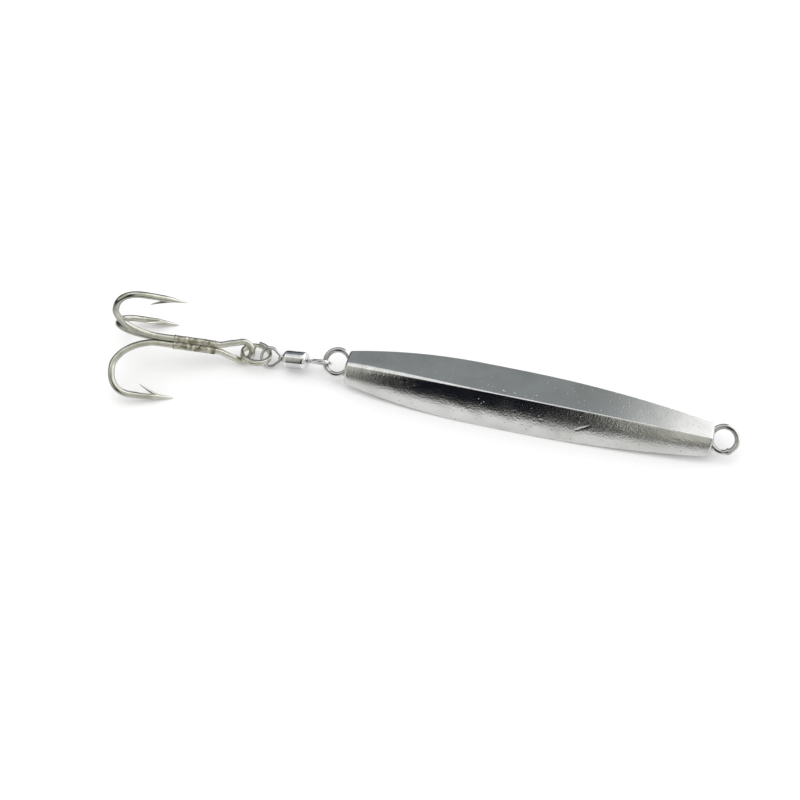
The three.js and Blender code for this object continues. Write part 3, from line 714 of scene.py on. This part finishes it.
rows = (np.stack([x, AXIS_Y + 0 * x, AXIS_Z + 0 * x], -1)[:, None]
        + across[..., None] * PARTING + up[..., None] * RIDGE)
rows[..., 2] = np.maximum(rows[..., 2], 0.0)
rub = np.random.default_rng(3)
breaks = 0.55 + 0.45 * np.sin(x * 0.9 + 1.3) * np.sin(x * 0.37) + rub.normal(0, 0.1, len(x))
body_worn = np.clip(corner[None, :] * breaks[:, None], 0, 1)
flat_polish = np.broadcast_to(np.where(facet == REAR_TOP, TOP_POLISH, 0.0), across.shape).ravel()
make_piece("jig_casting", [skin(rows, body_worn)], "plated_casting", "jig", ["jig_body"],
           polished=np.append(flat_polish, [0.0, 0.0]))

# %% [markdown]
# ## The two cast-in rings
# Each ring is a loop of stout wire whose ends were brought together and welded, then set in the mould
# so that the lead ran round it. A torus would do, but a real one isn't perfect: the weld leaves a nub,
# and the wire thins a little where it was bent. So the ring is a wire along a circular path, with a
# bulge at the weld.

# %% Rings
RING_WIRE, RING_OUTER = 1.64, 9.2
RING_MEAN = (RING_OUTER - RING_WIRE) / 2
WELD_WIDTH = 9.0  # degrees round the ring
WELD_RISE, WELD_INSIDE = 0.10, 0.26  # how far the nub stands out, all round and inside


def cast_ring(name, cad_node, weld_degrees):
    """A circle of wire in the plane of the body's axis and its parting edges. Near the weld the radius
    grows by a bell-shaped bump, mostly on the inside of the ring."""
    low, high = (np.array(c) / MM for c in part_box(cad_node))
    centre = (low + high) / 2
    turn = full_turn(160)
    sides = 32
    angle = full_turn(sides)
    off = (np.degrees(turn) - weld_degrees + 180) % 360 - 180
    bell = np.exp(-(off / WELD_WIDTH) ** 2)[:, None]
    radius = RING_WIRE / 2 * (1 + 0.012 * np.sin(3 * turn + 0.7))[:, None]
    radius = radius + bell * (WELD_RISE + WELD_INSIDE * np.clip(-np.cos(angle), 0, 1) ** 2)
    from_centre = RING_MEAN + radius * np.cos(angle)
    rise = radius * np.sin(angle)
    outward = np.cos(turn)[:, None] * np.array([1.0, 0, 0]) + np.sin(turn)[:, None] * PARTING
    rows = centre + from_centre[..., None] * outward[:, None] + rise[..., None] * RIDGE
    worn = np.clip(np.cos(angle)[None, :] * 0.8 - bell, 0, 1)
    make_piece(name, [skin(rows, worn, wrap=True)], "drawn_steel", "jig", [cad_node])


cast_ring("hook_end_ring_wire", "hook_end_ring", weld_degrees=-20)
cast_ring("line_end_ring_wire", "line_end_ring", weld_degrees=-62)

# %% [markdown]
# ## The barrel swivel
# A swivel is two wire eyes that turn in a small barrel. Each eye is a loop whose two legs meet in a
# shank; the shank passes through the barrel's mouth and ends in a head, so it can't pull out. The barrel
# is a tube rolled in round the shanks at both ends, which gives it its soft shoulders.
# The eye is three skins in one piece: the loop, a lump where its legs are pressed together, and the
# turned shank. The barrel is one turned profile, outside and inside, so it is truly hollow.

# %% Swivel
EYE_WIRE, EYE_RADIUS, EYE_REACH = 1.06, 2.8, 4.5
BARREL_LENGTH, BARREL_OUTER, BARREL_WALL = 7.7, 5.4, 0.5
BARREL_LIP, BARREL_ROUND = 0.75, 1.3
HEAD_DIAMETER, HEAD_THICK, HEAD_PLAY, MOUTH_CLEAR = 3.0, 1.0, 0.15, 0.09


def swivel_eye_skins():
    """The loop's path is two straight legs, tangent to an arc of more than half a turn. The lump is an
    ellipsoid with a waist, and the shank is a profile turned round the X axis."""
    wire = EYE_WIRE / 2
    neck = EYE_WIRE * 0.3
    apex = EYE_REACH - neck
    tilt = math.asin(EYE_RADIUS / apex)
    leg = apex * math.cos(tilt)
    first = wire * 1.14 / math.sin(tilt)
    far = first + (leg - first) * np.array([0, 0.35, 0.7])
    legs = np.stack([neck + far * math.cos(tilt), far * math.sin(tilt), 0 * far], -1)
    angle = (math.pi / 2 + tilt) * np.linspace(1, -1, 17)
    arc = np.stack([EYE_REACH + EYE_RADIUS * np.cos(angle), EYE_RADIUS * np.sin(angle), 0 * angle], -1)
    path, _ = flowing(np.vstack([legs, arc, legs[::-1] * [1, -1, 1]]), 130)
    worn = np.broadcast_to(np.abs(np.linspace(-1, 1, len(path)))[:, None] < 0.3, (len(path), 24)) * 0.7
    loop = skin(rings_along(path, wire, 24), worn)

    polar = np.linspace(0, math.pi, 26)
    lump_at = neck + first * math.cos(tilt) - 0.12
    turn = full_turn(36)
    waist = 1 - 0.10 * np.cos(2 * turn) ** 2
    size = (EYE_WIRE * 0.95, first * math.sin(tilt) + wire * 1.12, wire * 1.2)
    ball = np.stack([np.broadcast_to(np.cos(polar)[:, None], (26, 36)),
                     np.sin(polar)[:, None] * np.cos(turn) * waist,
                     np.sin(polar)[:, None] * np.sin(turn)], -1)[1:-1]
    lump = skin(ball * size + [lump_at, 0, 0], 0.15)

    inner = -(BARREL_LIP + HEAD_PLAY)
    r = HEAD_DIAMETER / 2
    shank = skin(lathe([(0.3, inner - HEAD_THICK), (r - 0.2, inner - HEAD_THICK),
                        (r - 0.05, inner - HEAD_THICK + 0.06), (r, inner - HEAD_THICK + 0.2),
                        (r, inner - 0.05), (r - 0.05, inner), (wire + 0.02, inner), (wire, inner + 0.05),
                        (wire, neck + 0.4), (wire * 0.5, neck + 0.7)], 32))
    return [loop, lump, shank]


def barrel_skin():
    """One profile of (radius, along) round the whole wall: mouth, quarter-round shoulder, a straight
    side, the other shoulder and mouth, then back along the inside."""
    outer, inner = BARREL_OUTER / 2, BARREL_OUTER / 2 - BARREL_WALL
    mouth = EYE_WIRE / 2 + MOUTH_CLEAR
    angle = np.linspace(0, math.pi / 2, 14)
    r = outer - BARREL_ROUND * (1 - np.sin(angle))
    along = BARREL_ROUND * (1 - np.cos(angle))
    side_along = np.linspace(BARREL_ROUND, BARREL_LENGTH - BARREL_ROUND, 14)[1:-1]
    side = np.stack([outer + 0 * side_along, side_along], -1)
    first = np.stack([r, along], -1)
    second = np.stack([r, BARREL_LENGTH - along], -1)[::-1]
    lip, bend = BARREL_LIP, 0.6
    inside = [(mouth, BARREL_LENGTH - 0.08), (mouth, BARREL_LENGTH - lip),
              (inner - bend, BARREL_LENGTH - lip), (inner, BARREL_LENGTH - lip - bend),
              (inner, lip + bend), (inner - bend, lip), (mouth, lip), (mouth, 0.08)]
    profile = np.vstack([[(mouth + 0.08, 0.0)], first, side, second,
            [(mouth + 0.08, BARREL_LENGTH)], inside])
    worn = np.where((np.abs(profile[:, 1] - BARREL_LENGTH / 2) > BARREL_LENGTH / 2 - BARREL_ROUND)
                    & (profile[:, 0] > mouth + 0.3), 0.6, 0.0)[:, None]
    return skin(lathe(profile, 72), worn, wrap=True)


def place_skins(skins, origin, directions):
    return [(set_at(points, origin, directions), *rest) for points, *rest in skins]


front_mouth, swivel_out = joint_place("barrel_spin")
rear_mouth, _ = joint_place("rear_eye_spin")
_, ring_tangent = joint_place("front_eye_swing")
front_axes = axes(-swivel_out, np.cross(ring_tangent, swivel_out))
barrel_axes = axes(swivel_out, np.cross(ring_tangent, swivel_out))
REAR_TWIST = math.radians(8)


def turned(vector, axis, angle):
    """A vector turned about an axis: kept along the axis, swung round it, by Rodrigues' formula."""
    return (vector * math.cos(angle) + np.cross(axis, vector) * math.sin(angle)
            + axis * np.dot(axis, vector) * (1 - math.cos(angle)))


rear_axes = axes(swivel_out, turned(ring_tangent, swivel_out, -REAR_TWIST))
make_piece("swivel_front_eye_wire", place_skins(swivel_eye_skins(), front_mouth, front_axes),
           "nickel_plate", "front_eye", ["swivel_front_eye"])
make_piece("swivel_barrel_shell", place_skins([barrel_skin()], front_mouth, barrel_axes),
           "nickel_plate", "barrel", ["swivel_barrel"])
make_piece("swivel_rear_eye_wire", place_skins(swivel_eye_skins(), rear_mouth, rear_axes),
           "nickel_plate", "rear_eye", ["swivel_rear_eye"])

# %% [markdown]
# ## The split ring
# A split ring is flat wire wound almost twice round, like a key ring. Each coil is a step higher than
# the one before, and the two lie nearly touching, so from the side it looks like one short band with
# a fine line round it. The section, a rectangle with rounded corners, is carried along a helix.

# %% Split ring
SPLIT_OUTER, SPLIT_RADIAL, SPLIT_COIL = 9.6, 0.95, 0.88
SPLIT_GAP, SPLIT_OVERLAP, SPLIT_CORNER = 0.12, 0.98, 0.2
SPLIT_MEAN = (SPLIT_OUTER - SPLIT_RADIAL) / 2


def rounded_bar(width, height, corner_radius, per_corner=7):
    """A rectangle with rounded corners, as a loop of (out, up): four quarter circles in turn."""
    quarter = np.linspace(0, math.pi / 2, per_corner)
    loop = []
    for number, (sx, sy) in enumerate([(1, 1), (-1, 1), (-1, -1), (1, -1)]):
        angle = quarter + number * math.pi / 2
        loop.append(np.stack([sx * (width / 2 - corner_radius) + corner_radius * np.cos(angle),
                sy * (height / 2 - corner_radius) + corner_radius * np.sin(angle)], -1))
    return np.concatenate(loop)


turns = 1 + SPLIT_OVERLAP
share_round = np.linspace(0, 1, 300)
angle = math.pi / 2 + 2 * math.pi * turns * share_round
height = (SPLIT_COIL + SPLIT_GAP) * turns * (share_round - 0.5)
bar_section = rounded_bar(SPLIT_RADIAL, SPLIT_COIL, SPLIT_CORNER)
ease = np.clip(np.minimum(share_round, 1 - share_round) / 0.004, 0.35, 1)[:, None, None]
loop = bar_section[None] * ease
out = SPLIT_MEAN + loop[..., 0]
coil = np.stack([out * np.cos(angle)[:, None], out * np.sin(angle)[:, None],
                 height[:, None] + loop[..., 1]], -1)
split_near, split_tangent = joint_place("split_ring_swing")
split_far, _ = joint_place("treble_swing")
split_out = unit(split_far - split_near)
split_axes = axes(split_out, split_tangent)
coil_worn = np.broadcast_to((np.abs(bar_section).min(1) > 0.36)[None, :] * 0.8, coil.shape[:2])
make_piece("split_ring_coil", place_skins([skin(coil, coil_worn)], (split_near + split_far) / 2,
        split_axes), "split_wire", "split_ring", ["split_ring"])

# %% [markdown]
# ## The treble hook
# A treble is two pieces of wire: one bent into the eye and two hooks, and a single hook laid in the
# groove between its shanks. Both are ground to needle points, and a chisel has cut a barb up from the
# inside of each point. The bend is drawn as two quarter-curves that share a tangent: a slack one at the
# heel and a squarer one towards the point. The hollow that the chisel left is a dip in the wire's
# radius, on the inner side only, and the barb is a flattened sliver that rises from it.

# %% Hook lines
HOOK_WIRE, TREBLE_EYE = 1.96, 3.0
SHANK_LENGTH, EYE_NECK = 25.6, 8.2
HOOK_STRETCH = [1.1, 0, -0.4]  # how much deeper each hook is bent than the first
HEEL_DEPTH, HEEL_RISE, GAPE = 12.4, 9.0, 16.7
HEEL_POWER, TOP_POWER = 1.75, 2.5
TOP_RUN, POINT_LENGTH, POINT_DIP = 7.0, 12.1, 0.6
NEEDLE_LENGTH, NEEDLE_TIP = 6.5, 0.16
BARB_BACK, BARB_LENGTH, BARB_RISE = 10.6, 6.6, 2.6
SHANK_GAP = 0.1
TREBLE_YAW, TREBLE_PITCH, TREBLE_TURN = -17.1, 14.3, 60.0  # degrees
BARB_WIDE, BARB_THIN = 0.66, 0.62  # shares of the wire at the barb's root
CUT_DEPTH = 0.36  # how much of the radius the chisel took
WIRE_STEP = (HOOK_WIRE + SHANK_GAP) / 2
AWAY = [np.array([0, math.cos(a), math.sin(a)]) for a in np.radians([30, 150, 270])]
SHANK_AT = [np.array([0, WIRE_STEP, 0]), np.array([0, -WIRE_STEP, 0]),
            np.array([0, 0, -WIRE_STEP * math.sqrt(3)])]


def hook_line(stretch):
    """The middle of the wire from the heel to the point, as (along, out): a quarter superellipse of low
    power for the heel, one of high power for the top, and a straight point. stretch moves the back
    of the bend out, but not the point."""
    angle = np.linspace(0, math.pi / 2, 13)
    back, run = -SHANK_LENGTH - HEEL_DEPTH - stretch, TOP_RUN + stretch
    heel = np.stack([-SHANK_LENGTH - (HEEL_DEPTH + stretch) * np.sin(angle) ** (2 / HEEL_POWER),
                     HEEL_RISE * (1 - np.cos(angle) ** (2 / HEEL_POWER))], -1)
    angle = angle[1:]
    top = np.stack([back + run * (1 - np.cos(angle) ** (2 / TOP_POWER)),
                    HEEL_RISE + (GAPE - HEEL_RISE) * np.sin(angle) ** (2 / TOP_POWER)], -1)
    share = np.array([0.35, 0.7, 1])
    point = np.stack([back + run + POINT_LENGTH * share,
                      GAPE - POINT_DIP * share], -1)
    return np.vstack([heel, top, point])


def on_hook(number, line):
    """(along, out) points of one of the three hooks, in the treble's own axes."""
    line = np.atleast_2d(line)
    return SHANK_AT[number] + line[:, :1] * [1, 0, 0] + line[:, 1:] * AWAY[number]


def needle(distance):
    """Wire radius by distance from the tip: full, then falling as a power just under one."""
    share = np.clip(distance / NEEDLE_LENGTH, 0, 1)
    return (NEEDLE_TIP + (HOOK_WIRE - NEEDLE_TIP) * share**0.8) / 2


def cut_wire(path, run, inward, number_of_points):
    """Rings along a hook wire, with needle ends and a chisel cut behind each point. The cut is a dip in
    the radius, deepest where the barb begins, on the side that faces inward."""
    length = run[-1]
    from_tip = np.minimum(run, length - run) if number_of_points == 2 else length - run
    radius = needle(from_tip)
    rows = rings_along(path, 1.0, 36, first_side=AWAY[2])
    spoke = rows - path[:, None]
    facing = np.clip((spoke * inward[:, None]).sum(-1), 0, 1)
    cut_from, cut_to = BARB_BACK - BARB_LENGTH - 0.4, BARB_BACK + 0.5
    into = np.clip((from_tip - cut_from) / (cut_to - cut_from), 0, 1)
    depth = CUT_DEPTH * np.where(into < 1, np.sin(math.pi * into) ** 0.8, 0)
    radius = radius[:, None] * (1 - depth[:, None] * facing**2)
    rows = path[:, None] + spoke * radius[..., None]
    worn = np.clip(1 - from_tip / 7.0, 0, 0.8)[:, None]
    return skin(rows, worn)


def barb(number):
    """A sliver that leaves the inner side of the wire and leans back towards the bend, flattened, and
    as wide at its root as the cut it came from."""
    tip_along = -SHANK_LENGTH - HEEL_DEPTH + TOP_RUN + POINT_LENGTH
    root = on_hook(number, (tip_along - BARB_BACK + BARB_LENGTH, GAPE - HOOK_WIRE * 0.22))[0]
    tip = on_hook(number, (tip_along - BARB_BACK, GAPE - HOOK_WIRE / 2 - BARB_RISE))[0]
    share = np.linspace(0, 1, 22)
    sag = 0.22 * np.sin(math.pi * share)[:, None] * AWAY[number]
    path = root + share[:, None] * (tip - root) + sag
    tangent = unit(np.gradient(path, axis=0))
    wide = unit(np.cross(tangent, AWAY[number]))
    thin = np.cross(tangent, wide)
    turn = full_turn(20)
    half_wide = (BARB_WIDE * (1 - share) ** 0.6 + 0.05)[:, None] * HOOK_WIRE * 0.5
    half_thin = (BARB_THIN * (1 - share) ** 0.7 + 0.05)[:, None] * HOOK_WIRE * 0.42
    rows = (path[:, None] + (half_wide * np.cos(turn))[..., None] * wide[:, None]
            + (half_thin * np.sin(turn))[..., None] * thin[:, None])
    return skin(rows, np.clip(share * 1.2 - 0.2, 0, 1)[:, None])


print(f"hooks: {HOOK_WIRE} mm wire, shank {SHANK_LENGTH} mm, gape {GAPE} mm")

# %% Treble wires
yaw, pitch = math.radians(TREBLE_YAW), math.radians(TREBLE_PITCH)
to_eye = np.array([math.cos(yaw) * math.cos(pitch), -math.sin(yaw) * math.cos(pitch),
                   -math.sin(pitch)])
level = unit(np.cross([0, 0, 1], to_eye))
treble_axes = axes(to_eye, turned(level, to_eye, math.radians(TREBLE_TURN)))

shank_line = np.stack([-SHANK_LENGTH + (SHANK_LENGTH - EYE_NECK) * np.array([0.25, 0.5, 0.75]),
                       np.zeros(3)], -1)
spread = TREBLE_EYE - WIRE_STEP
neck = np.array([[-EYE_NECK, WIRE_STEP, 0], [-EYE_NECK * 0.78, WIRE_STEP + spread * 0.06, 0],
                 [-EYE_NECK * 0.52, WIRE_STEP + spread * 0.42, 0]])
angle = math.radians(118) * np.linspace(1, -1, 15)
eye = np.stack([TREBLE_EYE * np.cos(angle), TREBLE_EYE * np.sin(angle), 0 * angle], -1)
pair_path, pair_run = flowing(np.vstack([
    on_hook(0, hook_line(HOOK_STRETCH[0])[::-1]), on_hook(0, shank_line), neck, eye,
    neck[::-1] * [1, -1, 1], on_hook(1, shank_line[::-1]), on_hook(1, hook_line(HOOK_STRETCH[1]))]), 640)
first_half = (np.arange(len(pair_path)) < len(pair_path) / 2)[:, None]
pair_skins = [cut_wire(pair_path, pair_run, -np.where(first_half, AWAY[0], AWAY[1]), 2),
              barb(0), barb(1)]
make_piece("treble_pair_wire", place_skins(pair_skins, split_far, treble_axes), "tinned_wire",
           "treble", ["treble_hook_pair"])

third = np.vstack([on_hook(2, [(-EYE_NECK, 0), (-EYE_NECK - (SHANK_LENGTH - EYE_NECK) * 0.34, 0),
        (-EYE_NECK - (SHANK_LENGTH - EYE_NECK) * 0.67, 0)]),
                   on_hook(2, hook_line(HOOK_STRETCH[2]))])
third_path, third_run = flowing(third, 300)
third_skins = [cut_wire(third_path, third_run, np.broadcast_to(-AWAY[2], third_path.shape), 1), barb(2)]
make_piece("treble_third_wire", place_skins(third_skins, split_far, treble_axes), "tinned_wire",
           "treble", ["treble_third_hook"])

# %% [markdown]
# ## The brazing
# The three shanks are held together by brazing metal that ran in between them when it was hot. It
# fills the grooves, rises over each wire in a thin skin, and is rough and mottled where it froze. It
# is one skin round all three wires: at each angle it stands off by the greatest reach of any wire in
# that direction, softened so that the grooves are bridged, plus lumps worked out from a few waves. At
# each end it thins until it sinks between the wires.

# %% Brazing
BRAZE_LENGTH, BRAZE_SKIN = 13.6, 0.14
BRAZE_START = EYE_NECK - 0.6
LUMP_WAVES, LUMP_HEIGHT, LIP_HEIGHT = 34, 0.014, 0.16
END_FADE, END_SINK = 0.9, 0.30  # over what length each end thins, and how deep
braze_rows, braze_sides = 150, 96
along = -BRAZE_START - BRAZE_LENGTH * (0.5 - 0.5 * np.cos(np.linspace(0, math.pi, braze_rows)))
turn = full_turn(braze_sides)
middle = np.array([0, -WIRE_STEP / math.sqrt(3)])
spokes = np.stack([np.cos(turn), np.sin(turn)], -1)
reach = []
for centre in SHANK_AT:  # distance to the far side of each wire, along each spoke
    offset = centre[1:] - middle
    ahead = spokes @ offset
    aside = np.abs(spokes[:, 0] * offset[1] - spokes[:, 1] * offset[0])
    reach.append(ahead + np.sqrt(np.clip((HOOK_WIRE / 2) ** 2 - aside**2, 0, None)))
hard = np.max(reach, axis=0)
window = np.exp(-(np.linspace(-1, 1, 17) / 0.55) ** 2)
soft = np.convolve(np.tile(hard, 3), window / window.sum(), "same")[braze_sides:2 * braze_sides]
from_end = np.minimum(-BRAZE_START - along, along + BRAZE_START + BRAZE_LENGTH)
cover = np.clip(from_end / END_FADE, 0, 1) ** 0.5
lump = np.random.default_rng(21)
lumps = np.zeros((braze_rows, braze_sides))
for _ in range(LUMP_WAVES):
    count, pace, phase = lump.integers(1, 12), lump.uniform(0.4, 5.5), lump.uniform(0, 6.28)
    lumps += np.sin(count * turn[None, :] + pace * along[:, None] + phase) / (1 + 0.25 * count)
lumps *= LUMP_HEIGHT
radius = (np.maximum(soft, hard)[None, :]
          + (BRAZE_SKIN * cover)[:, None] - END_SINK * (1 - cover)[:, None])
radius = radius + lumps * cover[:, None]
lip = np.exp(-((along + BRAZE_START + BRAZE_LENGTH - 0.5) / 0.35) ** 2)[:, None]
radius = radius + LIP_HEIGHT * lip  # the bead where the brazing metal stopped
braze = np.concatenate([np.broadcast_to(along[:, None, None], radius.shape + (1,)),
                        middle + radius[..., None] * spokes[None]], -1)
make_piece("treble_braze_metal", place_skins([skin(braze, np.clip(lumps * 6, 0, 1))], split_far,
        treble_axes), "brazing_metal", "treble",
           ["treble_brazing"])

# %% [markdown]
# ## The size
# The visual model must keep the CAD model's size, so the box round all its shown pieces is printed.

# %% Size
low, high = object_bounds()
print("visual box, mm:", [round(1000 * v, 1) for v in (*low, *high)])
